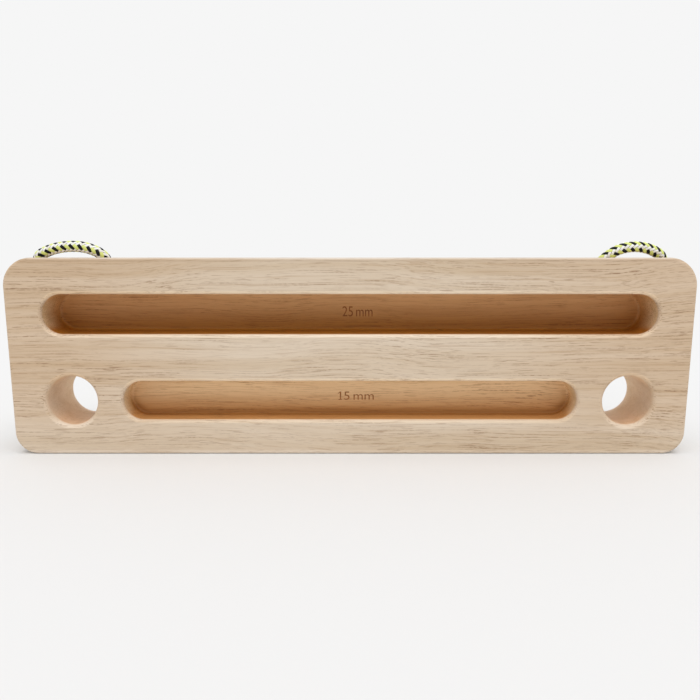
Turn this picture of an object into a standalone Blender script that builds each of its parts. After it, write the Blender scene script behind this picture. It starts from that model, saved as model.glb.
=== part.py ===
"""A portable hangboard: a routed wooden board with two finger slots, two round holes and two cord loops.

Units are metres and +Z is up. The front face looks towards -Y, and +X runs to the right of someone facing it.
The origin is under the middle of the board's thickness, at the middle of its lower edge.
Each cord is one piece of real rope. It is divided here into a loop, two legs and two stopper knots, because the
loop tilts in the mouths of its bores while the legs slide along them.
"""

import math

import bmesh
import bpy
import numpy as np
from mathutils import Matrix, Vector

# Board
BOARD_WIDTH = 0.430
BOARD_HEIGHT = 0.125
BOARD_THICKNESS = 0.038
TOP_CORNER_RADIUS = 0.018
BOTTOM_CORNER_RADIUS = 0.014
BOARD_EDGE_ROUND = 0.003

# Upper finger slot, the deep one
UPPER_SLOT_LENGTH = 0.385
UPPER_SLOT_HEIGHT = 0.025
UPPER_SLOT_DEPTH = 0.025
UPPER_SLOT_BELOW_TOP = 0.035

# Lower finger slot, the shallow one
LOWER_SLOT_LENGTH = 0.289
LOWER_SLOT_HEIGHT = 0.025
LOWER_SLOT_DEPTH = 0.015
LOWER_ROW_HEIGHT = 0.035

# Both slots
SLOT_LIP_ROUND = 0.0025
SLOT_FLOOR_FILLET = 0.002

# Round holes right through the board, in line with the lower slot
ROUND_HOLE_DIAMETER = 0.0315
ROUND_HOLE_FROM_END = 0.038
ROUND_HOLE_LIP = 0.0025

# Cord bores, drilled in pairs from the top face and slanting back to the rear face
BORE_DIAMETER = 0.0085
BORE_SLANT = math.radians(45)
BORE_PITCH = 0.0362
BORE_PAIR_FROM_END = 0.0368
BORE_BEFORE_MIDDLE = 0.005
TOP_MOUTH_DIAMETER = 0.022
TOP_MOUTH_DEPTH = 0.0075
TOP_MOUTH_BEFORE_MIDDLE = 0.0018
REAR_MOUTH_DIAMETER = 0.016
REAR_MOUTH_DEPTH = 0.003
THROAT_DIAMETER = 0.0066

# Cord
CORD_DIAMETER = 0.0066
PIVOT_BELOW_TOP = 0.004
LOOP_LEAN = math.radians(20)
KNOT_BELOW_PIVOT = 0.057
CORD_GAP = 0.0003

# Smoothness of the round shapes
CORNER_STEPS = 8
SLOT_END_STEPS = 10
HOLE_STEPS = 40
BORE_STEPS = 28
MOUTH_STEPS = 28
MOUTH_RINGS = 5
ROUND_STEPS = 3
CORD_RESOLUTION = 3
LOOP_POINTS = 27
KNOT_POINTS = 57
FOOT_RINGS = 4

# How far cutters run on past a face, how far a mouth's rim stands off it, and what counts as a sharp edge
CUT_PAST_FACE = 0.020
MOUTH_LIFT = 0.0001
SHARP_ANGLE = math.radians(50)

# Routes of the two loops in their own leaning plane, as distances sideways from the middle of the bore pair and
# up from the line through the two pivots. Each runs on to the pivots themselves.
LEFT_LOOP_ROUTE = [
    (-0.0181, 0.0020),
    (-0.0178, 0.0043),
    (-0.0119, 0.0084),
    (-0.0049, 0.0110),
    (0.0028, 0.0120),
    (0.0102, 0.0110),
    (0.0163, 0.0082),
    (0.0203, 0.0045),
    (0.0188, 0.0022),
]
RIGHT_LOOP_ROUTE = [
    (-0.0175, 0.0021),
    (-0.0159, 0.0043),
    (-0.0106, 0.0080),
    (-0.0043, 0.0107),
    (0.0026, 0.0116),
    (0.0092, 0.0106),
    (0.0147, 0.0077),
    (0.0177, 0.0042),
    (0.0181, 0.0020),
]

# Second half of an overhand knot, in cord diameters: sideways, away from the board's face, and down the cord.
# The first half is the same curve turned by half a turn about the axis that points away from the board's face.
KNOT_HALF_ROUTE = [
    (-0.54, 1.08, -0.10),
    (-1.52, 0.54, -0.34),
    (-1.54, -0.52, -0.72),
    (-0.60, -1.16, -0.92),
    (0.42, -0.84, -0.40),
    (0.54, -0.06, 0.44),
    (0.44, 0.22, 1.25),
]

# The cord above the knot, from the foot of the leg, and the drooping tail below it, in the same measures
KNOT_LEAD_ROUTE = [(0.00, 0.00, -2.45), (0.00, 0.00, -2.10)]
KNOT_TAIL_ROUTE = [(0.36, 0.05, 2.20), (0.30, -0.62, 3.05), (0.26, -1.55, 3.60)]

# Colours, as linear red, green and blue
WOOD_COLOUR = (0.60, 0.46, 0.32)
CORD_COLOUR = (0.62, 0.68, 0.10)

# Worked out from the sizes above
FRONT_Y = -BOARD_THICKNESS / 2
REAR_Y = BOARD_THICKNESS / 2
UPPER_SLOT_Z = BOARD_HEIGHT - UPPER_SLOT_BELOW_TOP
ROUND_HOLE_X = BOARD_WIDTH / 2 - ROUND_HOLE_FROM_END
BORE_PAIR_X = BOARD_WIDTH / 2 - BORE_PAIR_FROM_END
BORE_AXIS = Vector((0, math.sin(BORE_SLANT), -math.cos(BORE_SLANT)))
BORE_SIDE = Vector((0, math.cos(BORE_SLANT), math.sin(BORE_SLANT)))
LOOP_UP = Vector((0, -math.sin(LOOP_LEAN), math.cos(LOOP_LEAN)))
CORD_RADIUS = CORD_DIAMETER / 2


def clear_scene():
    """Remove what is in the scene, so that each run starts empty."""
    for old in list(bpy.data.objects):
        bpy.data.objects.remove(old, do_unlink=True)


def new_collection(name):
    collection = bpy.data.collections.new(name)
    bpy.context.scene.collection.children.link(collection)
    return collection


def new_material(name, colour, roughness):
    material = bpy.data.materials.new(name)
    material.use_nodes = True
    shader = material.node_tree.nodes["Principled BSDF"]
    shader.inputs["Base Color"].default_value = (*colour, 1)
    shader.inputs["Roughness"].default_value = roughness
    shader.inputs["Metallic"].default_value = 0
    material.diffuse_color = (*colour, 1)
    return material


def new_object(name, data, collection, material=None):
    made = bpy.data.objects.new(name, data)
    collection.objects.link(made)
    if material is not None:
        data.materials.append(material)
    return made


def as_cutter(cutter):
    cutter.hide_render = True
    cutter.display_type = "WIRE"
    return cutter


def cut(target, cutter):
    boolean = target.modifiers.new("cut_" + cutter.name, "BOOLEAN")
    boolean.operation = "DIFFERENCE"
    boolean.solver = "EXACT"
    boolean.object = cutter


def join_flat_faces(mesh):
    """Weld a mesh and join its neighbouring faces that lie in one plane, so that only real edges are left."""
    body = bmesh.new()
    body.from_mesh(mesh)
    bmesh.ops.remove_doubles(body, verts=body.verts, dist=0.00001)
    bmesh.ops.recalc_face_normals(body, faces=body.faces)
    bmesh.ops.dissolve_limit(body, angle_limit=math.radians(0.2), verts=body.verts, edges=body.edges)
    body.to_mesh(mesh)
    body.free()


def evaluated_mesh(source):
    """A clean copy of an object's mesh as its modifiers, or a curve's settings, shape it."""
    bpy.context.view_layer.update()
    graph = bpy.context.evaluated_depsgraph_get()
    mesh = bpy.data.meshes.new_from_object(source.evaluated_get(graph))
    join_flat_faces(mesh)
    return mesh


def rounded_plate(name, width, height, radii, steps, thickness, place, collection):
    """A flat plate standing on edge, with its corners' radii given from the upper right one clockwise."""
    curve = bpy.data.curves.new(name, "CURVE")
    curve.dimensions = "2D"
    curve.fill_mode = "BOTH"
    curve.extrude = thickness / 2
    points = []
    for (side, end, start), radius in zip([(1, 1, 90), (1, -1, 0), (-1, -1, -90), (-1, 1, -180)], radii):
        for step in range(steps + 1):
            angle = math.radians(start - 90 * step / steps)
            across = side * (width / 2 - radius) + radius * math.cos(angle)
            up = end * (height / 2 - radius) + radius * math.sin(angle)
            points.append((across, up, 0, 1))
    spline = curve.splines.new("POLY")
    spline.points.add(len(points) - 1)
    for control, point in zip(spline.points, points):
        control.co = point
    spline.use_cyclic_u = True
    outline = bpy.data.objects.new(name, curve)
    collection.objects.link(outline)
    mesh = evaluated_mesh(outline)
    bpy.data.objects.remove(outline, do_unlink=True)
    plate = new_object(name, mesh, collection)
    plate.rotation_euler = (math.radians(90), 0, 0)
    plate.location = place
    bpy.context.view_layer.update()
    return plate


def round_marked_edges(target, name, radius_of):
    """Bevel each sharp edge of an object by the radius that radius_of finds from the edge's two ends."""
    body = bmesh.new()
    body.from_mesh(target.data)
    radii = {}
    for edge in body.edges:
        if edge.calc_face_angle() > SHARP_ANGLE:
            radii[edge.index] = radius_of([target.matrix_world @ vertex.co for vertex in edge.verts])
    body.free()
    widest = max(radii.values())
    old = target.data.attributes.get("bevel_weight_edge")
    if old is not None:
        target.data.attributes.remove(old)
    weights = target.data.attributes.new("bevel_weight_edge", "FLOAT", "EDGE")
    for index, radius in radii.items():
        weights.data[index].value = radius / widest
    bevel = target.modifiers.new(name, "BEVEL")
    bevel.limit_method = "WEIGHT"
    bevel.width = widest
    bevel.segments = ROUND_STEPS
    bevel.use_clamp_overlap = False


def at_level(ends, axis, level):
    return all(abs(end[axis] - level) < CORD_GAP for end in ends)


def slot_cutter(name, length, height, depth, middle_z, collection):
    """A plate with round ends that reaches into the front face, rounded where it makes the slot's floor."""
    reach = depth + CUT_PAST_FACE
    place = (0, FRONT_Y + depth - reach / 2, middle_z)
    cutter = rounded_plate(name, length, height, [height / 2] * 4, SLOT_END_STEPS, reach, place, collection)
    floor_y = FRONT_Y + depth
    round_marked_edges(
        cutter, "floor_fillet", lambda ends: SLOT_FLOOR_FILLET if at_level(ends, 1, floor_y) else 0.0
    )
    return as_cutter(cutter)


def cylinder_cutter(name, steps, radius, start, end, collection):
    """A cylinder from one point to another."""
    bpy.ops.mesh.primitive_cylinder_add(vertices=steps, radius=radius, depth=(end - start).length)
    cutter = bpy.context.object
    cutter.name = name
    for holder in list(cutter.users_collection):
        holder.objects.unlink(cutter)
    collection.objects.link(cutter)
    cutter.location = (start + end) / 2
    cutter.rotation_euler = (end - start).to_track_quat("Z", "X").to_euler()
    return as_cutter(cutter)


def mouth_cutter(name, diameter, depth, place, turn, collection):
    """A trumpet turned about its own Z axis, from above a face down to a throat that a bore swallows."""
    profile = [(0, 0, CUT_PAST_FACE), (diameter / 2, 0, CUT_PAST_FACE)]
    for ring in range(MOUTH_RINGS + 1):
        angle = math.radians(90) * ring / MOUTH_RINGS
        inward = (diameter - THROAT_DIAMETER) / 2 * math.sin(angle)
        profile.append((diameter / 2 - inward, 0, MOUTH_LIFT - depth * (1 - math.cos(angle))))
    profile.append((0, 0, MOUTH_LIFT - depth))
    mesh = bpy.data.meshes.new(name)
    mesh.from_pydata(profile, [(i, i + 1) for i in range(len(profile) - 1)], [])
    cutter = new_object(name, mesh, collection)
    cutter.location = place
    cutter.rotation_euler = (turn, 0, 0)
    screw = cutter.modifiers.new("turn", "SCREW")
    screw.steps = MOUTH_STEPS
    screw.render_steps = MOUTH_STEPS
    screw.use_merge_vertices = True
    screw.merge_threshold = 0.00001
    screw.use_smooth_shade = False
    return as_cutter(cutter)


def bore_places(end):
    """The X places of a side's outer and inner bore; end is -1 on the left and 1 on the right."""
    return [end * (BORE_PAIR_X + BORE_PITCH / 2), end * (BORE_PAIR_X - BORE_PITCH / 2)]


def top_of_bore(bore_x):
    return Vector((bore_x, -BORE_BEFORE_MIDDLE, BOARD_HEIGHT))


def rear_of_bore(bore_x):
    return top_of_bore(bore_x) + BORE_AXIS * ((REAR_Y + BORE_BEFORE_MIDDLE) / math.sin(BORE_SLANT))


def pivot_of(bore_x):
    """The point on a bore's axis about which the cord bends, a little below the top face."""
    return top_of_bore(bore_x) + BORE_AXIS * (PIVOT_BELOW_TOP / math.cos(BORE_SLANT))


def near_bore(ends):
    """Whether an edge lies by the rear mouth of one of the bores."""
    reach = REAR_MOUTH_DIAMETER / 2 + CORD_GAP
    for bore_x in bore_places(-1) + bore_places(1):
        if all((end - rear_of_bore(bore_x)).length < reach for end in ends):
            return True
    return False


def near_round_hole(ends):
    reach = ROUND_HOLE_DIAMETER / 2 + CORD_GAP
    return all(math.hypot(abs(end.x) - ROUND_HOLE_X, end.z - LOWER_ROW_HEIGHT) < reach for end in ends)


def near_slot(ends, length, height, middle_z):
    return all(
        abs(end.x) < length / 2 + CORD_GAP and abs(end.z - middle_z) < height / 2 + CORD_GAP for end in ends
    )


def rim_radius(ends):
    """The rounding of one of the board's sharp edges, from where it lies; those inside it get none."""
    if near_bore(ends) or not at_level(ends, 1, FRONT_Y) and not at_level(ends, 1, REAR_Y):
        return 0.0
    if near_round_hole(ends):
        return ROUND_HOLE_LIP
    if near_slot(ends, UPPER_SLOT_LENGTH, UPPER_SLOT_HEIGHT, UPPER_SLOT_Z):
        return SLOT_LIP_ROUND
    if near_slot(ends, LOWER_SLOT_LENGTH, LOWER_SLOT_HEIGHT, LOWER_ROW_HEIGHT):
        return SLOT_LIP_ROUND
    return BOARD_EDGE_ROUND


def board_cutters(collection):
    """Everything that is routed or drilled out of the board."""
    yield slot_cutter(
        "upper_slot_cutter", UPPER_SLOT_LENGTH, UPPER_SLOT_HEIGHT, UPPER_SLOT_DEPTH, UPPER_SLOT_Z, collection
    )
    yield slot_cutter(
        "lower_slot_cutter", LOWER_SLOT_LENGTH, LOWER_SLOT_HEIGHT, LOWER_SLOT_DEPTH, LOWER_ROW_HEIGHT, collection
    )
    for side, end in (("left", -1), ("right", 1)):
        before = Vector((end * ROUND_HOLE_X, FRONT_Y - CUT_PAST_FACE, LOWER_ROW_HEIGHT))
        behind = Vector((end * ROUND_HOLE_X, REAR_Y + CUT_PAST_FACE, LOWER_ROW_HEIGHT))
        yield cylinder_cutter(
            side + "_round_hole_cutter", HOLE_STEPS, ROUND_HOLE_DIAMETER / 2, before, behind, collection
        )
        for which, bore_x in zip(("outer", "inner"), bore_places(end)):
            above = top_of_bore(bore_x) - BORE_AXIS * CUT_PAST_FACE
            below = rear_of_bore(bore_x) + BORE_AXIS * CUT_PAST_FACE
            name = side + "_" + which
            yield cylinder_cutter(
                name + "_bore_cutter", BORE_STEPS, BORE_DIAMETER / 2, above, below, collection
            )
            mouth = Vector((bore_x, -TOP_MOUTH_BEFORE_MIDDLE, BOARD_HEIGHT))
            yield mouth_cutter(
                name + "_top_mouth_cutter", TOP_MOUTH_DIAMETER, TOP_MOUTH_DEPTH, mouth, 0, collection
            )
            yield mouth_cutter(
                name + "_rear_mouth_cutter",
                REAR_MOUTH_DIAMETER,
                REAR_MOUTH_DEPTH,
                rear_of_bore(bore_x),
                math.radians(-90),
                collection,
            )


def build_board(parts, cutters, material):
    """The board: a rounded plate, cut by everything that goes into it, and then rounded at every rim."""
    radii = [TOP_CORNER_RADIUS, BOTTOM_CORNER_RADIUS, BOTTOM_CORNER_RADIUS, TOP_CORNER_RADIUS]
    middle = (0, 0, BOARD_HEIGHT / 2)
    board = rounded_plate(
        "board", BOARD_WIDTH, BOARD_HEIGHT, radii, CORNER_STEPS, BOARD_THICKNESS, middle, parts
    )
    for cutter in board_cutters(cutters):
        cut(board, cutter)
    mesh = evaluated_mesh(board)
    board.modifiers.clear()
    board.data = mesh
    round_marked_edges(board, "rims", rim_radius)
    mesh.shade_smooth()
    mesh.set_sharp_from_angle(angle=SHARP_ANGLE)
    mesh.materials.clear()
    mesh.materials.append(material)


def smooth_line(route, count):
    """Points evenly spaced along the smooth curve through a route's points."""
    route = np.array(route, float)
    points = np.vstack([2 * route[0] - route[1], route, 2 * route[-1] - route[-2]])
    fine = []
    for p0, p1, p2, p3 in zip(points, points[1:], points[2:], points[3:]):
        t1, t2, t3 = np.cumsum([np.linalg.norm(b - a) ** 0.5 for a, b in ((p0, p1), (p1, p2), (p2, p3))])
        for t in np.linspace(t1, t2, 24, endpoint=False):
            a1 = ((t1 - t) * p0 + t * p1) / t1
            a2 = ((t2 - t) * p1 + (t - t1) * p2) / (t2 - t1)
            a3 = ((t3 - t) * p2 + (t - t2) * p3) / (t3 - t2)
            b1 = ((t2 - t) * a1 + t * a2) / t2
            b2 = ((t3 - t) * a2 + (t - t1) * a3) / (t3 - t1)
            fine.append(((t2 - t) * b1 + (t - t1) * b2) / (t2 - t1))
    fine = np.array([*fine, route[-1]])
    along = np.concatenate([[0], np.cumsum(np.linalg.norm(np.diff(fine, axis=0), axis=1))])
    at = np.linspace(0, along[-1], count)
    return np.stack([np.interp(at, along, fine[:, k]) for k in range(3)], axis=1)


def least_gap(line):
    """How near a cord's surface comes to another turn of itself."""
    line = smooth_line(line, 4 * len(line))
    step = np.linalg.norm(line[1] - line[0])
    apart = np.linalg.norm(line[:, None] - line[None], axis=2)
    order = np.arange(len(line))
    along = np.abs(order[:, None] - order[None]) * step
    return float(apart[along > 2 * CORD_DIAMETER].min()) - CORD_DIAMETER


def with_round_ends(line):
    """A line with rings added for a ball at each end, and each ring's share of the cord's radius."""
    angles = [math.radians(90) * ring / FOOT_RINGS for ring in range(1, FOOT_RINGS)]
    out = [math.cos(angle) for angle in angles]
    start_way = (line[0] - line[1]) / np.linalg.norm(line[0] - line[1])
    end_way = (line[-1] - line[-2]) / np.linalg.norm(line[-1] - line[-2])
    start = [line[0] + start_way * CORD_RADIUS * math.sin(angle) for angle in reversed(angles)]
    end = [line[-1] + end_way * CORD_RADIUS * math.sin(angle) for angle in angles]
    return [*start, *line, *end], [*reversed(out), *[1.0] * len(line), *out]


def tube(name, origin, points, shares, parts, material):
    """A length of cord along points, whose radius at each is a share of the cord's own."""
    curve = bpy.data.curves.new(name, "CURVE")
    curve.dimensions = "3D"
    curve.bevel_depth = CORD_RADIUS
    curve.bevel_resolution = CORD_RESOLUTION
    curve.use_fill_caps = True
    spline = curve.splines.new("POLY")
    spline.points.add(len(points) - 1)
    for control, point, share in zip(spline.points, points, shares):
        control.co = (*(Vector(point) - origin), 1)
        control.radius = share
    new_object(name, curve, parts, material).location = origin


def knot_line(bore_x):
    """The cord's centreline from the foot of a leg, through an overhand knot, to the end of its tail."""
    turned_half = [(-across, out, -down) for across, out, down in reversed(KNOT_HALF_ROUTE)]
    route = KNOT_LEAD_ROUTE + turned_half + KNOT_HALF_ROUTE + KNOT_TAIL_ROUTE
    middle = pivot_of(bore_x) + BORE_AXIS * KNOT_BELOW_PIVOT
    frame = Matrix((Vector((1, 0, 0)), BORE_SIDE, BORE_AXIS)).transposed()
    return smooth_line([middle + frame @ (Vector(point) * CORD_DIAMETER) for point in route], KNOT_POINTS)


def build_cord(side, end, route, parts, material):
    """One side's cord: the loop above the board, and a leg and a stopper knot for each of its two bores."""
    pivot = pivot_of(end * BORE_PAIR_X)
    flat = [(-BORE_PITCH / 2, 0.0), *route, (BORE_PITCH / 2, 0.0)]
    loop = smooth_line([pivot + Vector((across, 0, 0)) + LOOP_UP * up for across, up in flat], LOOP_POINTS)
    tube(side + "_loop", pivot, *with_round_ends(loop), parts, material)
    for which, bore_x in zip(("outer", "inner"), bore_places(end)):
        name = side + "_" + which
        bend = pivot_of(bore_x)
        top = bend + BORE_AXIS * (CORD_RADIUS + CORD_GAP)
        lead = -KNOT_LEAD_ROUTE[0][2] * CORD_DIAMETER
        foot = bend + BORE_AXIS * (KNOT_BELOW_PIVOT - lead - CORD_GAP)
        tube(name + "_leg", bend, [top, (top + foot) / 2, foot], [1, 1, 1], parts, material)
        knot = knot_line(bore_x)
        tube(name + "_knot", bend, knot, [1] * len(knot), parts, material)
        print(name, "knot's least gap to itself in mm:", round(least_gap(knot) * 1000, 2))


def main():
    clear_scene()
    parts = new_collection("hangboard")
    cutters = new_collection("cutters")
    wood = new_material("pale_wood", WOOD_COLOUR, 0.55)
    cord = new_material("braided_cord", CORD_COLOUR, 0.75)
    build_board(parts, cutters, wood)
    build_cord("left", -1, LEFT_LOOP_ROUTE, parts, cord)
    build_cord("right", 1, RIGHT_LOOP_ROUTE, parts, cord)


main()
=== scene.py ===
"""The looks of a portable hangboard: its wooden board, its two braided cords, and the studio that shows them.

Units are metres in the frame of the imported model: +X to the right, the slots towards -Y and +Z up.
"""

import logging
import math
from collections.abc import Callable, Mapping, Sequence
from dataclasses import dataclass, field
from enum import Enum

import bmesh
import bpy
import numpy as np
from mathutils import Matrix, Vector


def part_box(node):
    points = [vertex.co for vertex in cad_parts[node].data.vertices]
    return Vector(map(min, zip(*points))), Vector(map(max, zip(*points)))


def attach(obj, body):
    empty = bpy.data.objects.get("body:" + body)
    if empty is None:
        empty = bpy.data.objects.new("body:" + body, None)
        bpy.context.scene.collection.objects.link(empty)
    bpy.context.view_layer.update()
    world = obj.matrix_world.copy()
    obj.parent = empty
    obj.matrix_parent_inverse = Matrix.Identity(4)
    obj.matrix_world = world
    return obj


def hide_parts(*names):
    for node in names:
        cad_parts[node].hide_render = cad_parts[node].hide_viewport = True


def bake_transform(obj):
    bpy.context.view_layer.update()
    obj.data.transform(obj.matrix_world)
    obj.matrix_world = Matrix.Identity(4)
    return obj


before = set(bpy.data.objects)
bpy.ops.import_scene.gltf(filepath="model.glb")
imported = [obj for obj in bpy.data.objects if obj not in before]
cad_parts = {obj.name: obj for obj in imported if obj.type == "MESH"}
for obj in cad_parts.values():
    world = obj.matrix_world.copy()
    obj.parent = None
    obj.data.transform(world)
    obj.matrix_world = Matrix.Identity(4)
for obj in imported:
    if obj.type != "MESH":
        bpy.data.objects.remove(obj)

LOG = logging.getLogger("hangboard")
MERGE_DISTANCE = 0.00001
TIP_MERGE_DISTANCE = 0.000002
HAIR = 0.0001
RIM_TOLERANCE = 0.0003
WELL_PAST = 0.020
SHARP_ANGLE = math.radians(50)
QUARTER_TURN = math.radians(90)
FLAT_ANGLE = math.radians(0.2)
NEARLY_WHOLE = 0.9999
CURVE_STEPS = 40

Colour = tuple[float, float, float]
Point = tuple[float, float, float]
Span = tuple[float, float]
Wave = tuple[Point, float]


def linear(red: int, green: int, blue: int) -> Colour:
    """Turn a colour from screen values of 0 to 255 into linear light.

    Args:
        red: The red value on a screen.
        green: The green value on a screen.
        blue: The blue value on a screen.

    Returns:
        The three linear values, from 0 to 1.
    """
    shares = (value / 255 for value in (red, green, blue))
    made = [share / 12.92 if share <= 0.04045 else ((share + 0.055) / 1.055) ** 2.4 for share in shares]
    return made[0], made[1], made[2]


class Body(Enum):
    """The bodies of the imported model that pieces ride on."""

    BOARD = "board"
    LEFT_LEGS = "left_legs"
    LEFT_LOOP = "left_loop"
    RIGHT_LEGS = "right_legs"
    RIGHT_LOOP = "right_loop"


class Slot(Enum):
    """The record's material slots."""

    WOOD = "wood"
    CORD = "cord"


class Graph:
    """The node tree of a material or of the world, emptied before it is built."""

    def __init__(self, owner: bpy.types.Material | bpy.types.World) -> None:
        """Take over an owner's node tree.

        Args:
            owner: The material or world to give nodes to.
        """
        owner.use_nodes = True
        self.owner = owner
        self.tree = owner.node_tree
        self.tree.nodes.clear()

    def node(
        self, kind: str, inputs: Mapping | None = None, output: int | str = 0, **settings: object
    ) -> "Socket":
        """Add one node, set it up and link it.

        Args:
            kind: The node's Blender type.
            inputs: What each input gets, by its name or number: a Socket to link, or a value to set.
            output: The name or number of the output to hand back.
            **settings: The node's own properties, such as its operation.

        Returns:
            The chosen output.
        """
        made = self.tree.nodes.new(kind)
        for name, value in settings.items():
            setattr(made, name, value)
        for name, value in (inputs or {}).items():
            if isinstance(value, Socket):
                self.tree.links.new(value.output, made.inputs[name])
            else:
                made.inputs[name].default_value = value
        return Socket(self, made.outputs[output] if made.outputs else None)

    def steps(self, value: "Socket", low: float, high: float) -> "Socket":
        """Rise smoothly from 0 at one value to 1 at another, which may be the lower."""
        inputs = {"Value": value, "From Min": low, "From Max": high}
        return self.node("ShaderNodeMapRange", inputs, interpolation_type="SMOOTHSTEP")

    def fade(self, value: "Socket", origin: float, span: Span) -> "Socket":
        """Rise smoothly from 0 to 1 between two distances from an origin."""
        return self.steps(value, origin + span[0], origin + span[1])

    def mix(
        self, share: "Socket | float", first: "Socket | Colour", second: "Socket | Colour", blend: str = "MIX"
    ) -> "Socket":
        """Mix two colours by a share of the second, with one of Mix's ways of blending."""
        one, other = (value if isinstance(value, Socket) else (*value, 1) for value in (first, second))
        inputs = {0: share, 6: one, 7: other}
        return self.node("ShaderNodeMix", inputs, output=2, data_type="RGBA", blend_type=blend)

    def tinted(self, share: "Socket | float", colour: "Socket", tint: "Socket | Colour") -> "Socket":
        """Multiply a colour by a share of a tint."""
        return self.mix(share, colour, tint, "MULTIPLY")

    def noise(self, where: "Socket", scale: Point, detail: float = 2) -> "Socket":
        """Read a cloudy texture with values around a half, scaled by its own amount each way."""
        scaled = self.node("ShaderNodeMapping", {"Vector": where, "Scale": scale})
        return self.node("ShaderNodeTexNoise", {"Vector": scaled, "Scale": 1.0, "Detail": detail})

    def bump(self, height: "Socket", distance: float, strength: float = 1) -> "Socket":
        """Make a normal from a height, whose full rise is given in metres."""
        return self.node("ShaderNodeBump", {"Height": height, "Distance": distance, "Strength": strength})

    def parts(self, where: "Socket") -> list["Socket"]:
        """Split coordinates into their three numbers."""
        first = self.node("ShaderNodeSeparateXYZ", {"Vector": where})
        return [Socket(self, output) for output in first.output.node.outputs]

    def finish(self, **inputs: object) -> bpy.types.Material:
        """End a material with a Principled shader.

        Args:
            **inputs: The shader's inputs, with a low line for each blank in their names.

        Returns:
            The material.
        """
        named = {name.replace("_", " "): value for name, value in inputs.items()}
        shader = self.node("ShaderNodeBsdfPrincipled", named)
        self.node("ShaderNodeOutputMaterial", {"Surface": shader})
        return self.owner


def operation(name: str, swapped: bool = False) -> Callable[..., "Socket"]:
    """Make a method that combines a socket with other values by a Math node.

    Args:
        name: The node's operation.
        swapped: Whether the socket comes after the other value.

    Returns:
        The method.
    """

    def combine(self: "Socket", *others: "Socket | float") -> "Socket":
        """Add the node."""
        values = (*others, self) if swapped else (self, *others)
        return self.graph.node("ShaderNodeMath", dict(enumerate(values)), operation=name)

    return combine


class Socket:
    """An output of a node, on which arithmetic adds Math nodes."""

    def __init__(self, graph: Graph, output: bpy.types.NodeSocket | None) -> None:
        """Hold an output and the graph that it belongs to."""
        self.graph = graph
        self.output = output

    __add__ = operation("ADD")
    __radd__ = operation("ADD", swapped=True)
    __sub__ = operation("SUBTRACT")
    __rsub__ = operation("SUBTRACT", swapped=True)
    __mul__ = operation("MULTIPLY")
    __rmul__ = operation("MULTIPLY", swapped=True)
    __mod__ = operation("FLOORED_MODULO")
    __rmod__ = operation("FLOORED_MODULO", swapped=True)
    __lt__ = operation("LESS_THAN")
    __gt__ = operation("GREATER_THAN")
    __abs__ = operation("ABSOLUTE")
    floor = operation("FLOOR")
    root = operation("SQRT")
    cosine = operation("COSINE")
    most = operation("MAXIMUM")

    def __neg__(self) -> "Socket":
        """Turn the sign."""
        return self * -1.0


def new_piece(
    name: str, body: bmesh.types.BMesh, material: bpy.types.Material | None = None
) -> bpy.types.Object:
    """Make an object of a bmesh, with its place in its mesh, and free the bmesh.

    Args:
        name: The object's name.
        body: The finished shape.
        material: What it is made of, if it is seen.

    Returns:
        The object, linked to the scene.
    """
    mesh = bpy.data.meshes.new(name)
    body.to_mesh(mesh)
    body.free()
    piece = bpy.data.objects.new(name, mesh)
    bpy.context.scene.collection.objects.link(piece)
    if material is not None:
        mesh.materials.append(material)
    return piece


def bevel(body: bmesh.types.BMesh, edges: Sequence[bmesh.types.BMEdge], radius: float, steps: int) -> None:
    """Round edges by a radius."""
    shape = {"offset": radius, "offset_type": "OFFSET", "segments": steps, "profile": 0.5}
    bmesh.ops.bevel(body, geom=list(edges), affect="EDGES", clamp_overlap=False, material=-1, **shape)


def evaluated(piece: bpy.types.Object) -> bpy.types.Mesh:
    """Copy an object's mesh as its modifiers or its curve's settings shape it."""
    graph = bpy.context.evaluated_depsgraph_get()
    return bpy.data.meshes.new_from_object(piece.evaluated_get(graph))


@dataclass(frozen=True)
class Marks:
    """Places where a cloudy texture rises past a level, such as dashes along the grain.

    Attributes:
        scale: How finely the texture varies along, into and up the board.
        low: The level where the marks begin.
        high: The level where they are full.
        detail: How rough their edges are.
    """

    scale: Point
    low: float
    high: float
    detail: float = 1.5

    def draw(self, graph: Graph, where: Socket) -> Socket:
        """Give 1 on the marks and 0 between them."""
        return graph.steps(graph.noise(where, self.scale, self.detail), self.low, self.high)


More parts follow.
